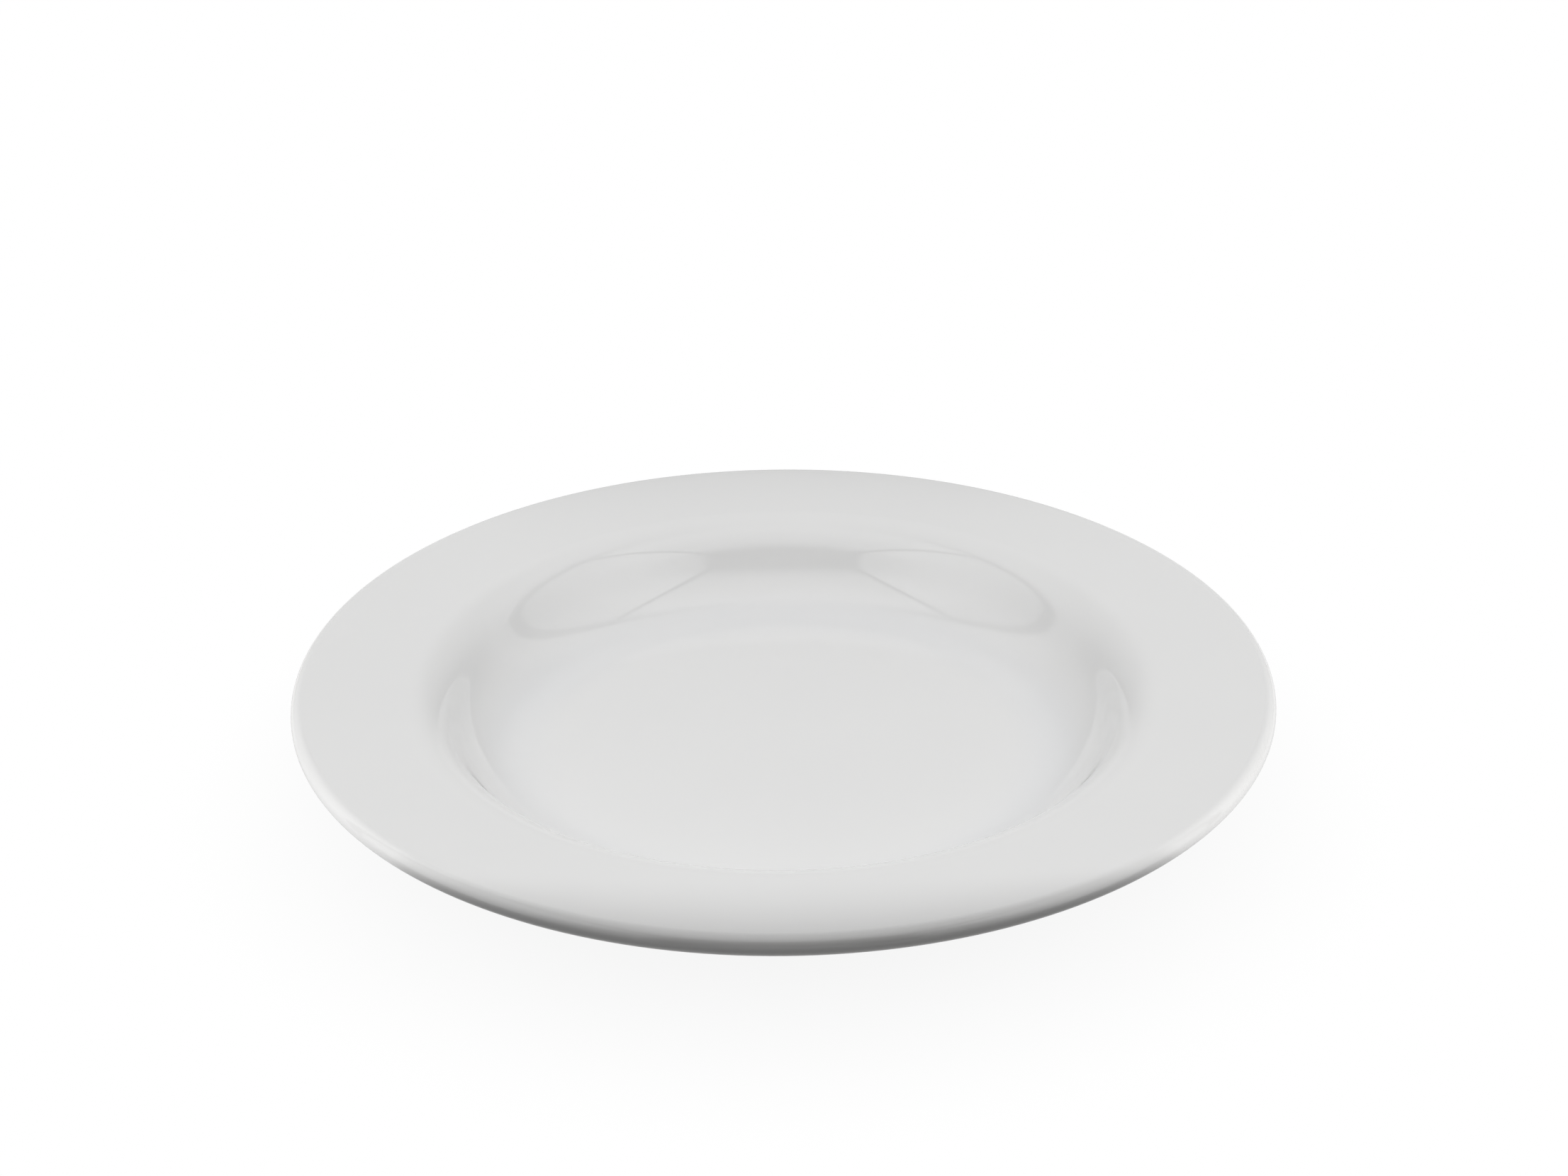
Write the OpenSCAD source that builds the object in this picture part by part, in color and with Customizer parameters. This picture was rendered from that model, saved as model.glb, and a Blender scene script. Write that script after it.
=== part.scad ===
// Rimmed soup plate: a broad, almost level rim round a shallow well, in
// white porcelain under a clear glaze, standing on a bare foot ring.
//
// Millimetres, +Z up. The origin is the middle of the foot's resting circle.
// Every size but the overall diameter is the clay's, before it is glazed.

/* [Rim] */
// Diameter over the finished edge
plate_d = 230; // [215:1:270]
// Diameter at the corner where the rim breaks into the well
lip_d = 166; // [160:1:182]
// Slope of the rim, rising outwards, in degrees
rim_slope = 3.5; // [0:0.5:8]
// Thickness of the rim
rim_t = 4.1; // [3.2:0.1:5.5]
// Radius of the edge's upper round
edge_top_r = 2.3; // [1:0.1:2.4]
// Radius of the edge's lower round
edge_low_r = 1.6; // [0.8:0.1:1.7]
// Radius of the round from the rim down into the well
lip_round_r = 14; // [6:0.5:16]

/* [Well] */
// Depth of the well, from the lip's corner to the floor
well_depth = 18.4; // [15:0.1:24]
// Steepest slope of the wall, in degrees
wall_slope = 56; // [50:1:66]
// Thickness of the wall
wall_t = 4; // [3.4:0.1:5]
// Radius of the hollow round from the wall to the floor
cove_r = 22; // [12:0.5:26]
// Thickness of the base
base_t = 5.5; // [4:0.1:7]

/* [Underside] */
// Radius of the hollow round under the rim
under_rim_r = 10; // [4:0.5:12]
// Radius of the round from the outer wall to the base
under_wall_r = 17; // [8:0.5:18]

/* [Foot] */
// Outer diameter of the foot ring, where it rests
foot_d = 117; // [104:1:120]
// Width of the foot ring, where it rests
foot_w = 3.8; // [3:0.1:6]
// Height of the foot ring outside
foot_h = 3.6; // [2.8:0.1:5]
// Height of the recess inside the foot ring
recess_h = 3.2; // [2.4:0.1:4.5]
// Slope of the foot ring's sides off upright, in degrees
foot_draft = 9; // [0:1:15]
// Radius of the rounds where the foot ring rests
foot_round_r = 0.8; // [0.3:0.1:1]
// Radius of the rounds at the root of the foot ring
foot_root_r = 1.3; // [0.5:0.1:1.6]

/* [Glaze] */
// Thickness of the glaze
glaze_t = 0.3; // [0.15:0.05:0.5]
// Bare share of each straight side of the foot ring, where glaze is wiped off
bare_share = 0.35; // [0.2:0.05:0.6]

/* [Hidden] */
// The most that a round's chords may lie inside its true arc
chord_gap = 0.015;
turn_facets = 180;

// The corners that the clay's outline turns round
edge_r = plate_d / 2 - glaze_t;
floor_z = foot_h + base_t;
lip = [lip_d / 2, floor_z + well_depth];
cove = meet(lip, wall_slope, [0, floor_z], 0);
edge_top = meet(lip, rim_slope, [edge_r, 0], 90);
edge_low = edge_top - [0, rim_t / cos(rim_slope)];
wall_out = lip + wall_t * [sin(wall_slope), -cos(wall_slope)];
under_rim = meet(edge_low, rim_slope, wall_out, wall_slope);
under_wall = meet(wall_out, wall_slope, [0, foot_h], 0);
foot_out = [foot_d / 2, 0];
foot_in = foot_out - [foot_w, 0];
root_out = meet(foot_out, 90 - foot_draft, [0, foot_h], 0);
root_in = meet(foot_in, 90 + foot_draft, [0, recess_h], 0);

// The clay's outline as [corner, radius of its round], from the axis over the
// top and the edge to the foot, round the foot, and back to the axis below
over_top = [
    [[0, floor_z], 0],
    [cove, cove_r],
    [lip, lip_round_r],
    [edge_top, edge_top_r],
    [edge_low, edge_low_r],
    [under_rim, under_rim_r],
    [under_wall, under_wall_r],
    [root_out, foot_root_r],
];
round_foot = [[foot_out, foot_round_r], [foot_in, foot_round_r]];
in_recess = [[root_in, foot_root_r], [[0, recess_h], 0]];
clay = fitted(concat(over_top, round_foot, in_recess));
recess_start = len(over_top) + len(round_foot);

// Where the glaze stops on the outer and the inner side of the foot ring
glaze_end_out = on_straight(clay, len(over_top) - 1, 1 - bare_share);
glaze_end_in = on_straight(clay, recess_start - 1, bare_share);

// Point where a line through p at angle a meets a line through q at angle b
function meet(p, a, q, b) =
    let (d = q - p)
    p + (d[0] * sin(b) - d[1] * cos(b)) / sin(b - a) * [cos(a), sin(a)];

// Outlines are lists of [corner, radius], with the air on the left hand.
function stretch_of(c, start, count) = [for (i = [start:start + count - 1]) c[i]];
function heading(c, i) = (c[i + 1][0] - c[i][0]) / norm(c[i + 1][0] - c[i][0]);
function left_of(v) = [-v[1], v[0]];
function is_end(c, i) = i == 0 || i == len(c) - 1;
// Turn at corner i in degrees, positive to the left, into a hollow
function turn(c, i) =
    let (u = heading(c, i - 1), v = heading(c, i))
    atan2(u[0] * v[1] - u[1] * v[0], u * v);
// Length that the round of corner i takes from each straight beside it
function cut_back(c, i) = is_end(c, i) ? 0 : c[i][1] * tan(abs(turn(c, i)) / 2);
// Share of their radii that the rounds at both ends of a straight have room for
function room_share(c, i) =
    let (need = cut_back(c, i) + cut_back(c, i + 1))
    need > 0 ? min(1, norm(c[i + 1][0] - c[i][0]) / need) : 1;
// The same outline, with each round limited by the straights beside it
function fitted(c) = [
    for (i = [0:len(c) - 1])
        is_end(c, i) ? c[i]
            : [c[i][0], c[i][1] * min(room_share(c, i - 1), room_share(c, i))]
];
// Point a share of the way along the straight from corner i to the next
function on_straight(c, i, share) =
    let (
        u = heading(c, i),
        from = c[i][0] + u * cut_back(c, i),
        to = c[i + 1][0] - u * cut_back(c, i + 1)
    )
    from + share * (to - from);

// Points of corner i, moved out into the air by g, its round as chords
function corner_points(c, i, g) =
    i == 0 ? [c[0][0] + g * left_of(heading(c, 0))]
    : i == len(c) - 1 ? [c[i][0] + g * left_of(heading(c, i - 1))]
    : let (
        u = heading(c, i - 1),
        a = turn(c, i),
        side = sign(a),
        r = c[i][1] - side * g,
        mid = c[i][0] - u * cut_back(c, i) + side * c[i][1] * left_of(u),
        chords = r > chord_gap ? ceil(abs(a) / (2 * acos(1 - chord_gap / r))) : 1
    )
    [for (k = [0:chords]) mid - side * r * turned(left_of(u), a * k / chords)];
function turned(v, a) = [v[0] * cos(a) - v[1] * sin(a), v[0] * sin(a) + v[1] * cos(a)];
function outline(c, g) = [for (i = [0:len(c) - 1]) each corner_points(c, i, g)];
function reversed(v) = [for (i = [len(v) - 1:-1:0]) v[i]];

// Turns an outline round the axis
module lathe(points) rotate_extrude($fn = turn_facets) polygon(points);

// A skin of glaze on the outside of a stretch of the clay's outline
module glaze_on(stretch)
    lathe(concat(outline(stretch, glaze_t), reversed(outline(stretch, 0))));

// The fired clay: floor, wall, rim, base and foot ring in one piece
module porcelain_body() color("linen") lathe(outline(clay, 0));

// Glaze over the top, round the edge and under to the foot ring's outer side
module glaze_coat()
    color("white")
        glaze_on([each stretch_of(clay, 0, len(over_top)), [glaze_end_out, 0]]);

// Glaze on the base inside the foot ring
module foot_recess_glaze()
    color("whitesmoke")
        glaze_on([[glaze_end_in, 0], each stretch_of(clay, recess_start, len(in_recess))]);

porcelain_body();
glaze_coat();
foot_recess_glaze();
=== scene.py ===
"""Rimmed soup plate in glossy white porcelain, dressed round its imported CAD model.

Metres, in the CAD model's frame: +Z is the plate's axis, and the origin is the
middle of the circle on which the foot ring rests.
"""

import math
from math import cos, pi, radians, sin, tan

import bpy
import numpy as np
from mathutils import Matrix, Vector, noise


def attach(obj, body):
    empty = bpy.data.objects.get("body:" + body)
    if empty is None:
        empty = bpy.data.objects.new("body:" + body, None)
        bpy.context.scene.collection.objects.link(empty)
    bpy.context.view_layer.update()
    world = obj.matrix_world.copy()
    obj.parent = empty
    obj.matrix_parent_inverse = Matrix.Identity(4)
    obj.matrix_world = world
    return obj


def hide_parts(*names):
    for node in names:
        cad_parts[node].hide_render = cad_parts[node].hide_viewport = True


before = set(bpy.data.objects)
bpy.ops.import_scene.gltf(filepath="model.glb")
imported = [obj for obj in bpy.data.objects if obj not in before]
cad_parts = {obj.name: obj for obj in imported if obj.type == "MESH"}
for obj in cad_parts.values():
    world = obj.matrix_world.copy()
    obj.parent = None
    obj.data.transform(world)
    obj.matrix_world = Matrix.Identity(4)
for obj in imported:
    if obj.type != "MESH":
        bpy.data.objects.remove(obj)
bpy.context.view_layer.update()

MM = 0.001

# Sizes
# The clay's sizes, as in the CAD model. The glaze adds its thickness.
PLATE_D = 230 * MM
LIP_D = 166 * MM
RIM_SLOPE = radians(3.5)
RIM_T = 4.1 * MM
EDGE_TOP_R = 2.3 * MM
EDGE_LOW_R = 1.6 * MM
LIP_ROUND_R = 14 * MM
WELL_DEPTH = 18.4 * MM
WALL_SLOPE = radians(56)
WALL_T = 4 * MM
COVE_R = 22 * MM
BASE_T = 5.5 * MM
UNDER_RIM_R = 10 * MM
UNDER_WALL_R = 17 * MM
FOOT_D = 117 * MM
FOOT_W = 3.8 * MM
FOOT_H = 3.6 * MM
RECESS_H = 3.2 * MM
FOOT_DRAFT = radians(9)
FOOT_ROUND_R = 0.8 * MM
FOOT_ROOT_R = 1.3 * MM
GLAZE_T = 0.3 * MM
BARE_SHARE = 0.35

# How finely the turned surfaces are divided
FACETS = 216
ARC_STEP = radians(3)
ARC_LENGTH = 0.85 * MM
STRAIGHT_LENGTH = 2.5 * MM
GLAZE_END_STEPS = 5
# Below this radius a point lies on the axis
ON_AXIS = 1e-7
# How far over a whole number of steps rounding may put a straight's length
ROUND_OFF = 1e-6

# What firing does to a turned plate: the rim sinks a little, most at the two
# ends of one diameter, and the glaze sets in long, shallow waves.
SAG = 0.28 * MM
SAG_HEADING = radians(35)
GLAZE_WAVE = 0.006 * MM
GLAZE_WAVE_LENGTH = 17 * MM
# Sinks the waves as a whole, so that no crest stands over the CAD model's box
WAVE_SINK = 1.5
# Points next to the glaze's end at the foot that have no waves
CALM_POINTS = 2


# Outlines
# An outline is a list of (corner, radius), with the air on the left hand.
def meet(p, a, q, b):
    """Point where a line through p at angle a meets a line through q at angle b."""
    d = q - p
    along = (d[0] * sin(b) - d[1] * cos(b)) / sin(b - a)
    return p + along * np.array([cos(a), sin(a)])


def point(r, z):
    return np.array([r, z], float)


def unit(v):
    return v / np.hypot(*v)


def left_of(v):
    return np.array([-v[1], v[0]])


def turned(v, a):
    return np.array([v[0] * cos(a) - v[1] * sin(a), v[0] * sin(a) + v[1] * cos(a)])


def heading(outline, i):
    return unit(outline[i + 1][0] - outline[i][0])


def turn(outline, i):
    """Turn at corner i, positive to the left, into a hollow."""
    u, v = heading(outline, i - 1), heading(outline, i)
    return math.atan2(u[0] * v[1] - u[1] * v[0], u @ v)


def cut_back(outline, i):
    """Length that the round of corner i takes from each straight beside it."""
    if i in (0, len(outline) - 1):
        return 0
    return outline[i][1] * tan(abs(turn(outline, i)) / 2)


def on_straight(outline, i, share):
    """Point a share of the way along the straight from corner i to the next."""
    u = heading(outline, i)
    start = outline[i][0] + u * cut_back(outline, i)
    end = outline[i + 1][0] - u * cut_back(outline, i + 1)
    return start + share * (end - start)


def round_points(outline, i, lift):
    """Points along corner i, lifted into the air by lift."""
    corner, radius = outline[i]
    if i == 0:
        return [corner + lift * left_of(heading(outline, 0))]
    u = heading(outline, i - 1)
    if i == len(outline) - 1:
        return [corner + lift * left_of(u)]
    angle = turn(outline, i)
    side = math.copysign(1, angle)
    middle = corner - u * cut_back(outline, i) + side * radius * left_of(u)
    lifted = radius - side * lift
    steps = max(
        math.ceil(abs(angle) / ARC_STEP), math.ceil(abs(angle) * lifted / ARC_LENGTH)
    )
    return [
        middle - side * lifted * turned(left_of(u), angle * k / steps)
        for k in range(steps + 1)
    ]


def trace(outline, lift=0):
    """The whole outline as points close together, lifted into the air by lift."""
    points = []
    for i in range(len(outline)):
        for p in round_points(outline, i, lift):
            if points:
                gap = np.hypot(*(p - points[-1]))
                steps = math.ceil(gap / STRAIGHT_LENGTH - ROUND_OFF)
                start = points[-1]
                points += [start + (p - start) * k / steps for k in range(1, steps)]
            points.append(p)
    return points


# Corners
floor_z = FOOT_H + BASE_T
edge_r = PLATE_D / 2 - GLAZE_T
lip = point(LIP_D / 2, floor_z + WELL_DEPTH)
cove = meet(lip, WALL_SLOPE, point(0, floor_z), 0)
edge_top = meet(lip, RIM_SLOPE, point(edge_r, 0), pi / 2)
edge_low = edge_top - point(0, RIM_T / cos(RIM_SLOPE))
wall_out = lip + WALL_T * point(sin(WALL_SLOPE), -cos(WALL_SLOPE))
under_rim = meet(edge_low, RIM_SLOPE, wall_out, WALL_SLOPE)
under_wall = meet(wall_out, WALL_SLOPE, point(0, FOOT_H), 0)
foot_out = point(FOOT_D / 2, 0)
foot_in = foot_out - point(FOOT_W, 0)
root_out = meet(foot_out, pi / 2 - FOOT_DRAFT, point(0, FOOT_H), 0)
root_in = meet(foot_in, pi / 2 + FOOT_DRAFT, point(0, RECESS_H), 0)

over_top = [
    (point(0, floor_z), 0),
    (cove, COVE_R),
    (lip, LIP_ROUND_R),
    (edge_top, EDGE_TOP_R),
    (edge_low, EDGE_LOW_R),
    (under_rim, UNDER_RIM_R),
    (under_wall, UNDER_WALL_R),
    (root_out, FOOT_ROOT_R),
]
round_foot = [(foot_out, FOOT_ROUND_R), (foot_in, FOOT_ROUND_R)]
in_recess = [(root_in, FOOT_ROOT_R), (point(0, RECESS_H), 0)]
clay = over_top + round_foot + in_recess
recess_start = len(over_top) + len(round_foot)
glaze_end_out = on_straight(clay, len(over_top) - 1, 1 - BARE_SHARE)
glaze_end_in = on_straight(clay, recess_start - 1, BARE_SHARE)


def glaze_section(stretch, ends_at_foot):
    """A closed skin on a stretch of the clay, and which of its points have waves.

    ends_at_foot is -1 where the stretch's last corner is the glaze's free end,
    and 0 where its first corner is. The free end is rounded.
    """
    outer, inner = trace(stretch, GLAZE_T), trace(stretch)
    end = stretch[ends_at_foot][0]
    beside = stretch[-2 if ends_at_foot else 1][0]
    back = unit(beside - end)
    up = unit(outer[ends_at_foot] - end)
    rounded = [
        end + back * GLAZE_T * (1 - sin(a)) + up * GLAZE_T * cos(a)
        for a in np.linspace(0, pi / 2, GLAZE_END_STEPS + 1)[:-1]
    ]
    if ends_at_foot:
        return outer[:-1] + rounded + inner[::-1], range(len(outer) - CALM_POINTS)
    waved = range(len(rounded) + CALM_POINTS, len(rounded) + len(outer) - 1)
    return rounded[::-1] + outer[1:] + inner[::-1], waved


# Solids
def smooth(t):
    t = np.clip(t, 0, 1)
    return t * t * (3 - 2 * t)


def fired(r, z, heading_angle, has_waves):
    """Where a point of the turned form lies after firing."""
    reach = float(smooth((r - FOOT_D / 2) / (PLATE_D / 2 - FOOT_D / 2)))
    lobes = 0.5 + 0.5 * cos(2 * (heading_angle - SAG_HEADING))
    p = Vector((r * cos(heading_angle), r * sin(heading_angle), z))
    p.z -= SAG * reach * lobes
    if has_waves:
        p.z -= GLAZE_WAVE * (WAVE_SINK + noise.noise(p / GLAZE_WAVE_LENGTH))
    return p


def add_object(name, points, faces):
    mesh = bpy.data.meshes.new(name)
    mesh.from_pydata(points, [], faces)
    made = bpy.data.objects.new(name, mesh)
    bpy.context.scene.collection.objects.link(made)
    return made


def lathe(name, section, waved):
    """A closed, smooth body of revolution, with waves at the section points waved."""
    points, faces, rings = [], [], []
    for k, (r, z) in enumerate(section):
        r = max(r, 0)
        count = FACETS if r > ON_AXIS else 1
        rings.append(range(len(points), len(points) + count))
        for i in range(count):
            points.append(fired(r, z, 2 * pi * i / FACETS, k in waved))
    for a, b in zip(rings, rings[1:] + rings[:1]):
        if len(a) == len(b) == 1:
            continue
        for i in range(FACETS):
            j = (i + 1) % FACETS
            if len(a) == 1:
                faces.append((b[j], b[i], a[0]))
            elif len(b) == 1:
                faces.append((a[j], b[0], a[i]))
            else:
                faces.append((a[j], b[j], b[i], a[i]))
    piece = add_object(name, [tuple(p) for p in points], faces)
    piece.data.validate()
    piece.data.polygons.foreach_set("use_smooth", [True] * len(piece.data.polygons))
    return piece


# Node trees
class Nodes:
    """Short ways to add and join the nodes of one tree."""

    def __init__(self, owner):
        owner.use_nodes = True
        self.tree = owner.node_tree
        self.tree.nodes.clear()

    def add(self, kind, inputs=(), **settings):
        node = self.tree.nodes.new("ShaderNode" + kind)
        for key, value in settings.items():
            setattr(node, key, value)
        for key, value in dict(inputs).items():
            if isinstance(value, bpy.types.NodeSocket):
                self.tree.links.new(value, node.inputs[key])
            else:
                node.inputs[key].default_value = value
        return node

    def math(self, operation, *values):
        return self.add("Math", dict(enumerate(values)), operation=operation).outputs[0]

    def remap(self, value, low, high, to_low=0.0, to_high=1.0, ease="SMOOTHSTEP"):
        inputs = {
            "Value": value,
            "From Min": low,
            "From Max": high,
            "To Min": to_low,
            "To Max": to_high,
        }
        return self.add("MapRange", inputs, interpolation_type=ease).outputs[0]

    def product(self, first, *others):
        for other in others:
            first = self.math("MULTIPLY", first, other)
        return first

    def rest(self, share):
        return self.math("SUBTRACT", 1.0, share)

    def shares(self, value, stops):
        """Each stop with its share, full there and none at the stops beside it."""
        stops = list(stops)
        steps = [
            self.remap(value, low, high, ease="LINEAR")
            for low, high in zip(stops, stops[1:])
        ]
        passed = [1.0, *steps, 0.0]
        shares = [self.math("SUBTRACT", a, b) for a, b in zip(passed, passed[1:])]
        return zip(stops, shares)

    def noise(self, place, scale, detail=2.0, rough=0.5):
        """Smooth noise, mostly between 0.3 and 0.7."""
        inputs = {"Vector": place, "Scale": scale, "Detail": detail, "Roughness": rough}
        return self.add("TexNoise", inputs).outputs["Fac"]

    def mix(self, share, first, second):
        inputs = {0: share, 6: first, 7: second}
        return self.add("Mix", inputs, data_type="RGBA").outputs[2]

    def glow(self, level):
        return self.add("Emission", {"Color": grey(1.0), "Strength": level}).outputs[0]

    def finish(self, surface):
        self.add("OutputMaterial", {"Surface": surface})

    def ceramic(self, colour, roughness, heights):
        """A ceramic surface. heights are pairs of a height's pattern and its size in mm."""
        first, second = [self.math("MULTIPLY", pattern, size) for pattern, size in heights]
        height = self.math("ADD", first, second)
        bump = self.add("Bump", {"Height": height, "Strength": 1.0, "Distance": MM})
        inputs = {
            "Base Color": colour,
            "Roughness": roughness,
            "Normal": bump.outputs[0],
            "IOR": CERAMIC_IOR,
        }
        self.finish(self.add("BsdfPrincipled", inputs).outputs[0])


def grey(level):
    return (level, level, level, 1)


# Materials
CERAMIC_IOR = 1.5

GLAZE_COLOUR = (0.9, 0.9, 0.895, 1)
GLAZE_POOLED = (0.875, 0.88, 0.885, 1)
GLAZE_THIN = (0.89, 0.885, 0.875, 1)
GLAZE_CLOUD = (0.84, 0.84, 0.84, 1)
GLAZE_SPECK = (0.5, 0.46, 0.42, 1)
GLAZE_ROUGHNESS = (0.02, 0.05)
# Distances from the axis over which the glaze begins to pool in the hollow at the
# wall's foot, over which it ends, and over which it thins towards the edge
POOL_START = (52 * MM, 64 * MM)
POOL_END = (66 * MM, 74 * MM)
THIN_START = (112.5 * MM, 114.6 * MM)
# Patterns in features per metre: slow changes of colour and of gloss, the cells
# that may hold a speck, and two sizes of waves with their heights in mm
CLOUD_SCALE = 26.0
CLOUD_SHARE = 0.12
SMEAR_SCALE = 60.0
SPECK_SCALE = 95.0
FINE_WAVES = (420.0, 0.0006)
BROAD_WAVES = (75.0, 0.008)
# Which cells hold a speck, out of 0 to 1, the speck's size as a share of a cell,
# and how dark it is
SPECK_RARITY = (0.985, 0.99)
SPECK_SIZE = (0.012, 0.028)
SPECK_SHARE = 0.55

CLAY_COLOUR = (0.84, 0.82, 0.78, 1)
CLAY_GRAIN = (0.74, 0.71, 0.66, 1)
CLAY_WORN = (0.6, 0.58, 0.55, 1)
CLAY_ROUGHNESS = (0.62, 0.8)
# The grain and the patches of the bare clay, per metre, with their heights in mm
GRAIN = (2600.0, 0.03)
PATCHES = (130.0, 0.02)
# How high above the table the clay is worn, and how much, from patch to patch
WORN_HEIGHT = 0.35 * MM
WORN_SHARE = (0.25, 0.8)


def glaze_material():
    """Clear gloss over white clay: pools in the cove, thins over the edge."""
    material = bpy.data.materials.new("white_glaze")
    n = Nodes(material)
    place = n.add("TexCoord").outputs["Object"]
    x, y, _ = n.add("SeparateXYZ", {0: place}).outputs
    r = n.math("SQRT", n.math("ADD", n.math("MULTIPLY", x, x), n.math("MULTIPLY", y, y)))

    cloud = n.noise(place, CLOUD_SCALE, detail=3.0)
    pooled = n.product(
        n.remap(r, *POOL_START),
        n.remap(r, *POOL_END, to_low=1.0, to_high=0.0),
        n.remap(cloud, 0.3, 0.7, to_low=0.5),
    )
    colour = n.mix(pooled, GLAZE_COLOUR, GLAZE_POOLED)
    thin = n.product(n.remap(r, *THIN_START), n.remap(cloud, 0.35, 0.7, to_low=0.3))
    colour = n.mix(thin, colour, GLAZE_THIN)
    colour = n.mix(n.remap(cloud, 0.35, 0.65, to_high=CLOUD_SHARE), colour, GLAZE_CLOUD)
    cells = n.add("TexVoronoi", {"Vector": place, "Scale": SPECK_SCALE, "Randomness": 1.0})
    pick = n.add("SeparateColor", {0: cells.outputs["Color"]}).outputs[0]
    dot = n.remap(cells.outputs["Distance"], *SPECK_SIZE, SPECK_SHARE, 0.0)
    speck = n.product(n.remap(pick, *SPECK_RARITY), dot)
    colour = n.mix(speck, colour, GLAZE_SPECK)

    smear = n.noise(place, SMEAR_SCALE, detail=4.0, rough=0.6)
    roughness = n.remap(smear, 0.3, 0.75, *GLAZE_ROUGHNESS)
    fine_scale, fine_height = FINE_WAVES
    broad_scale, broad_height = BROAD_WAVES
    fine = n.noise(place, fine_scale, rough=0.4)
    broad = n.noise(place, broad_scale, detail=1.0, rough=0.3)
    n.ceramic(colour, roughness, [(fine, fine_height), (broad, broad_height)])
    return material


def bisque_material():
    """Bare fired clay: fine grain, a few darker grains, worn where it rests."""
    material = bpy.data.materials.new("bare_bisque")
    n = Nodes(material)
    place = n.add("TexCoord").outputs["Object"]
    z = n.add("SeparateXYZ", {0: place}).outputs[2]
    grain_scale, grain_height = GRAIN
    patch_scale, patch_height = PATCHES
    grain = n.noise(place, grain_scale, detail=4.0, rough=0.7)
    patch = n.noise(place, patch_scale, detail=3.0)
    colour = n.mix(n.remap(grain, 0.45, 0.75), CLAY_COLOUR, CLAY_GRAIN)
    low = n.remap(z, 0.0, WORN_HEIGHT, 1.0, 0.0)
    worn = n.product(low, n.remap(patch, 0.35, 0.65, *WORN_SHARE))
    colour = n.mix(worn, colour, CLAY_WORN)
    roughness = n.remap(patch, 0.3, 0.7, *CLAY_ROUGHNESS)
    n.ceramic(colour, roughness, [(grain, grain_height), (patch, patch_height)])
    return material


# Pieces
def plate():
    glaze, bisque = glaze_material(), bisque_material()
    coat, coat_waved = glaze_section(over_top + [(glaze_end_out, 0)], -1)
    recess, recess_waved = glaze_section([(glaze_end_in, 0)] + in_recess, 0)
    made = {
        "porcelain_body": (trace(clay), range(0), bisque, "bisque"),
        "glaze_coat": (coat, coat_waved, glaze, "glaze"),
        "foot_recess_glaze": (recess, recess_waved, glaze, "glaze"),
    }
    for node, (section, waved, material, slot) in made.items():
        piece = lathe("dressed_" + node, section, waved)
        piece.data.materials.append(material)
        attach(piece, "root")
        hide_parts(node)


# Stage
# The light comes from a tent round the plate: a top panel and two side panels,
# parted by dark seams, open towards the camera, with a backdrop behind. Each
# is a region of directions, bounded by planes through the plate.

# How far the seams between the top and the sides lean out from upright
SEAM_SLOPE = radians(29)
SEAM_WIDTH = radians(2.2)
# How far the top reaches from upright to the front and to the back
TOP_FRONT = radians(43.5)
TOP_BACK = radians(9)
# The sides meet the backdrop where y is these shares of |x| and z added up, and
# the gap starts and ends this far before and behind that plane
SIDE_BACK = (0.257, 0.104)
SIDE_BACK_GAP = (radians(-3.2), radians(2.4))
# The sides start at the front where -y is this many times |x|
SIDE_FRONT = 1.85
# How wide each bound is blurred
SEAM_SOFT = radians(1.8)
TOP_FRONT_SOFT = radians(4)
TOP_BACK_SOFT = radians(14)
SIDE_BACK_SOFT = radians(1.6)
SIDE_FRONT_SOFT = radians(8)

# How bright each region is along one part of the direction: as it lights the
# matt clay below the glaze, and as the glaze mirrors it
TENT = {
    "top": (("y", {-0.4: 2.8, 0.0: 1.5}), ("y", {-0.69: 0.2, -0.5: 1.4, 0.1: 1.6})),
    "side": (
        ("y", {-0.4: 0.2, 0.2: 0.6}),
        ("y", {-0.7: 1.0, -0.45: 2.2, -0.2: 2.0, 0.05: 1.2, 0.3: 0.5}),
    ),
    "back": (("z", {0.1: 1.1, 0.7: 0.6}), ("y", {0.35: 0.85, 0.65: 0.6, 0.88: 0.48})),
}
# How much of the mirrored backdrop fades out to the sides, from |x| to |x|, and
# over what stretch of y that fading sets in
FADE = 0.6
FADE_OUT = (0.1, 0.4)
FADE_BACK = (0.4, 0.65)
# The backdrop's foot, straight behind, as the glaze mirrors it: the height where
# it ends, and its light
FOOT_TOP = 0.2
FOOT_LIGHT = 0.75
# A bright strip at both sides, below the horizon and up to a little above it,
# setting in from |x| to |x|. Past the floor's end it lights the plate's edge, and
# the rim keeps most of it out of the well.
STRIP_TOP = 0.04
STRIP_OUT = (0.5, 0.7)
STRIP_LIGHT = 8.0
# Over what stretch of z, under the horizon, the matt light ends, because the
# floor hides the rest
LIGHT_END = (-0.12, -0.06)


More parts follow.
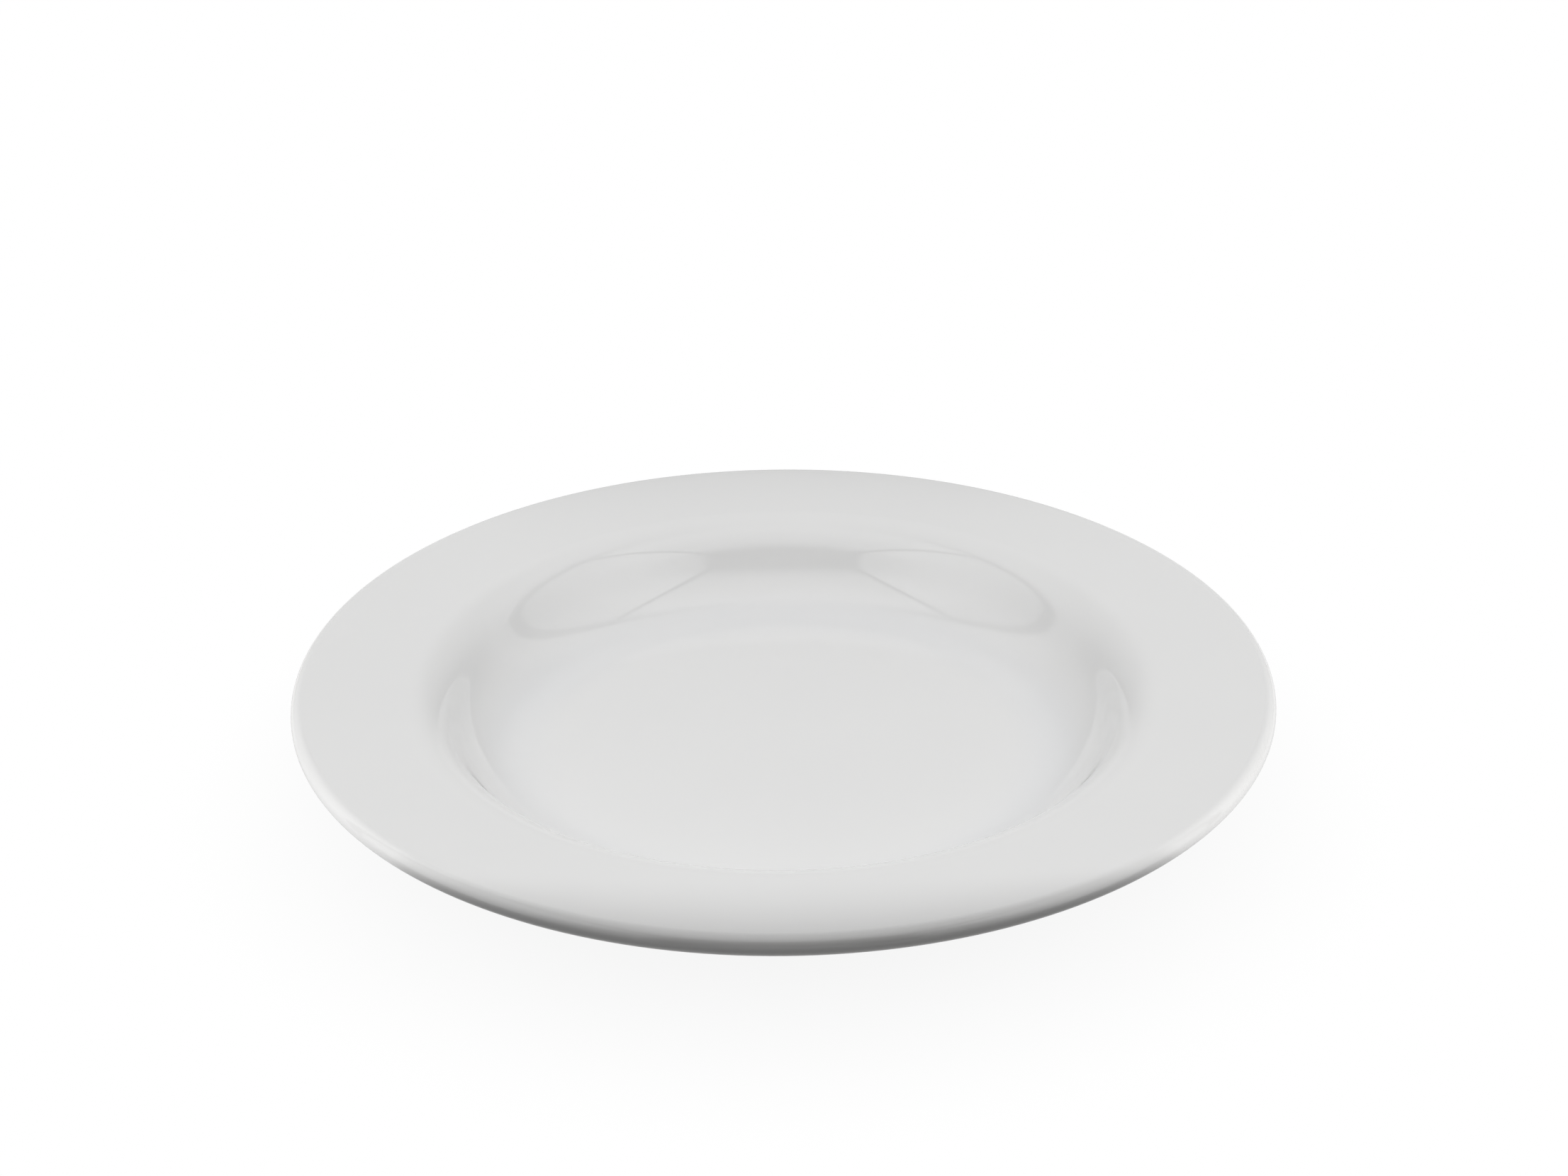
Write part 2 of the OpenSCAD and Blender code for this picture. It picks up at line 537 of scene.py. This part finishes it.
def tent_regions(n, out, y, z):
    """A mask for each region of the tent, from the direction's |x|, y and z."""

    def beyond(a, b, c, soft, start=0.0):
        """0 to 1 across the plane a|x| + b y + c z = start, soft radians wide."""
        size = math.sqrt(a * a + b * b + c * c)
        total = n.math("MULTIPLY", out, a / size)
        total = n.math("MULTIPLY_ADD", y, b / size, total)
        total = n.math("MULTIPLY_ADD", z, c / size, total)
        return n.remap(total, start - soft / 2, start + soft / 2)

    seam = cos(SEAM_SLOPE), 0, -sin(SEAM_SLOPE), SEAM_SOFT
    side_out, side_up = SIDE_BACK
    side_back = -side_out, 1, -side_up, SIDE_BACK_SOFT
    gap_start, gap_end = SIDE_BACK_GAP
    return {
        "top": n.product(
            n.rest(beyond(*seam, -SEAM_WIDTH / 2)),
            beyond(0, cos(TOP_FRONT), sin(TOP_FRONT), TOP_FRONT_SOFT),
            n.rest(beyond(0, cos(TOP_BACK), -sin(TOP_BACK), TOP_BACK_SOFT)),
        ),
        "side": n.product(
            beyond(*seam, SEAM_WIDTH / 2),
            n.rest(beyond(*side_back, gap_start)),
            beyond(SIDE_FRONT, 1, 0, SIDE_FRONT_SOFT),
        ),
        "back": beyond(*side_back, gap_end),
    }


def studio_light():
    world = bpy.data.worlds.new("light_tent")
    bpy.context.scene.world = world
    n = Nodes(world)
    direction = n.add("TexCoord").outputs["Generated"]
    x, y, z = n.add("SeparateXYZ", {0: direction}).outputs
    out = n.math("ABSOLUTE", x)
    along = {"y": y, "z": z}
    masks = tent_regions(n, out, y, z)
    aside = n.remap(out, *FADE_OUT)
    faded = n.product(aside, n.remap(y, *FADE_BACK, 0.0, FADE))
    mirrored_masks = {**masks, "back": n.product(masks["back"], n.rest(faded))}
    totals = []
    for kind, kind_masks in enumerate((masks, mirrored_masks)):
        total = 0.0
        for region, mask in kind_masks.items():
            axis, levels = TENT[region][kind]
            for stop, share in n.shares(along[axis], levels):
                part = n.product(mask, share)
                total = n.math("MULTIPLY_ADD", part, levels[stop], total)
        totals.append(total)
    soft, mirrored = totals
    foot = n.product(n.remap(z, 0.0, FOOT_TOP, 1.0, 0.0), n.rest(aside))
    mirrored = n.math("MULTIPLY", mirrored, n.rest(foot))
    mirrored = n.math("MULTIPLY_ADD", foot, FOOT_LIGHT, mirrored)
    strip = n.product(n.remap(z, 0.0, STRIP_TOP, 1.0, 0.0), n.remap(out, *STRIP_OUT))
    soft = n.math("MULTIPLY_ADD", strip, STRIP_LIGHT, soft)
    soft = n.math("MULTIPLY", soft, n.remap(z, *LIGHT_END))
    ray = n.add("LightPath").outputs
    light = n.mix(ray["Is Glossy Ray"], soft, mirrored)
    shown = n.mix(ray["Is Camera Ray"], light, grey(1.0))
    background = n.add("Background", {"Color": shown, "Strength": 1.0})
    n.add("OutputWorld", {"Surface": background.outputs[0]})


# The floor that the camera sees, and the one below it that lights the plate
FLOOR_HALF = 6.0
BOUNCE_HALF = 0.35
BOUNCE_DEPTH = 1 * MM
# How much light the lower floor sends back, and how much more it adds, behind
# and beside the plate and then in front of it
BACK_FLOOR = (0.2, 0.5)
FRONT_FLOOR = (0.1, 0.6)
FRONT_FLOOR_Y = -0.075
# A painted contact shadow: how much darker the floor's glow is painted under the
# plate, and over what distance from the axis that painted shade fades out
PAINTED_CONTACT_SHADE = 0.1
CONTACT_FADE = (55 * MM, 150 * MM)

# The dark cards: their light, and each one's radius, its height at its middle
# and half its reach round the plate
FLAG_GLOW = 0.12
FRONT_FLAG = (125 * MM, 63 * MM, radians(52))
BACK_FLAG = (130 * MM, 45 * MM, radians(65))
FLAG_STEPS = 48
# How the card's top falls to its ends, as a power of a cosine
FLAG_TAPER = 0.5


def stage_piece(name, points, faces, material):
    """Part of the stage. Its glow isn't sampled as a light, which keeps noise low."""
    made = add_object(name, points, faces)
    made.data.materials.append(material)
    material.cycles.emission_sampling = "NONE"
    return made


def floor_plane(name, z, material, half, low_y, high_y):
    corners = [(-half, low_y, z), (half, low_y, z), (half, high_y, z), (-half, high_y, z)]
    return stage_piece(name, corners, [(0, 1, 2, 3)], material)


def floors():
    """A white floor that only the camera sees, over the one that lights the plate."""
    shown = bpy.data.materials.new("pale_floor")
    n = Nodes(shown)
    position = n.add("NewGeometry").outputs["Position"]
    from_middle = n.add("VectorMath", {0: position}, operation="LENGTH").outputs["Value"]
    # Painted shadow: the glow is darkened round the plate's axis, since a glow takes no
    # cast shadow
    shade = n.remap(from_middle, *CONTACT_FADE, PAINTED_CONTACT_SHADE, 0.0)
    n.finish(n.glow(n.rest(shade)))
    pale = floor_plane("pale_floor", 0.0, shown, FLOOR_HALF, -FLOOR_HALF, FLOOR_HALF)
    pale.visible_diffuse = False
    pale.visible_glossy = False
    pale.visible_transmission = False
    pale.visible_shadow = False

    for part, (bounce_share, glow_level), span in (
        ("back", BACK_FLOOR, (FRONT_FLOOR_Y, BOUNCE_HALF)),
        ("front", FRONT_FLOOR, (-BOUNCE_HALF, FRONT_FLOOR_Y)),
    ):
        hidden = bpy.data.materials.new("bounce_" + part)
        n = Nodes(hidden)
        matte = n.add("BsdfDiffuse", {"Color": grey(bounce_share)}).outputs[0]
        n.finish(n.add("AddShader", {0: matte, 1: n.glow(glow_level)}).outputs[0])
        name = "bounce_floor_" + part
        bounce = floor_plane(name, -BOUNCE_DEPTH, hidden, BOUNCE_HALF, *span)
        bounce.visible_camera = False


def flag(name, toward, size):
    """A dark curved card close to the plate, which neither camera nor gloss sees."""
    radius, height, reach = size
    points, faces = [], []
    for i in range(FLAG_STEPS + 1):
        a = reach * (2 * i / FLAG_STEPS - 1)
        x, y = radius * sin(a), toward * radius * cos(a)
        top = height * cos(a / reach * pi / 2) ** FLAG_TAPER
        points += [(x, y, 0.0), (x, y, top)]
    for k in range(0, 2 * FLAG_STEPS, 2):
        faces.append((k, k + 2, k + 3, k + 1))
    dark = bpy.data.materials.new(name + "_card")
    n = Nodes(dark)
    n.finish(n.glow(FLAG_GLOW))
    card = stage_piece(name, points, faces, dark)
    card.visible_camera = False
    card.visible_glossy = False


# Camera
# It looks past a point on the plate's axis at the height of the rim, which the
# photo shows AIM_PIXELS right of and below its own middle. The focal length is
# in the photo's pixels, and the sensor's width in millimetres.
CAMERA_AIM_Z = 27.4 * MM
CAMERA_DISTANCE = 690 * MM
CAMERA_ELEVATION = radians(28.48)
CAMERA_ROLL = radians(0.54)
FOCAL_PIXELS = 4125
AIM_PIXELS = (-2.3, 124)
PHOTO_WIDTH = 2212
SENSOR_WIDTH = 36
CLIP = (10 * MM, 50)


def camera():
    data = bpy.data.cameras.new("camera")
    data.sensor_fit = "HORIZONTAL"
    data.sensor_width = SENSOR_WIDTH
    data.lens = SENSOR_WIDTH * FOCAL_PIXELS / PHOTO_WIDTH
    data.clip_start, data.clip_end = CLIP
    eye = bpy.data.objects.new("camera", data)
    bpy.context.scene.collection.objects.link(eye)
    place = Vector((0, -cos(CAMERA_ELEVATION), sin(CAMERA_ELEVATION))) * CAMERA_DISTANCE
    place.z += CAMERA_AIM_Z
    yaw, pitch = [math.atan2(pixels, FOCAL_PIXELS) for pixels in AIM_PIXELS]
    eye.matrix_world = (
        Matrix.Translation(place)
        @ Matrix.Rotation(pi / 2 - CAMERA_ELEVATION, 4, "X")
        @ Matrix.Rotation(yaw, 4, "Y")
        @ Matrix.Rotation(pitch, 4, "X")
        @ Matrix.Rotation(-CAMERA_ROLL, 4, "Z")
    )
    bpy.context.scene.camera = eye


# Scene
camera()
plate()
floors()
flag("front_flag", -1, FRONT_FLAG)
flag("back_flag", 1, BACK_FLAG)
studio_light()
bpy.context.scene.view_settings.view_transform = "Standard"
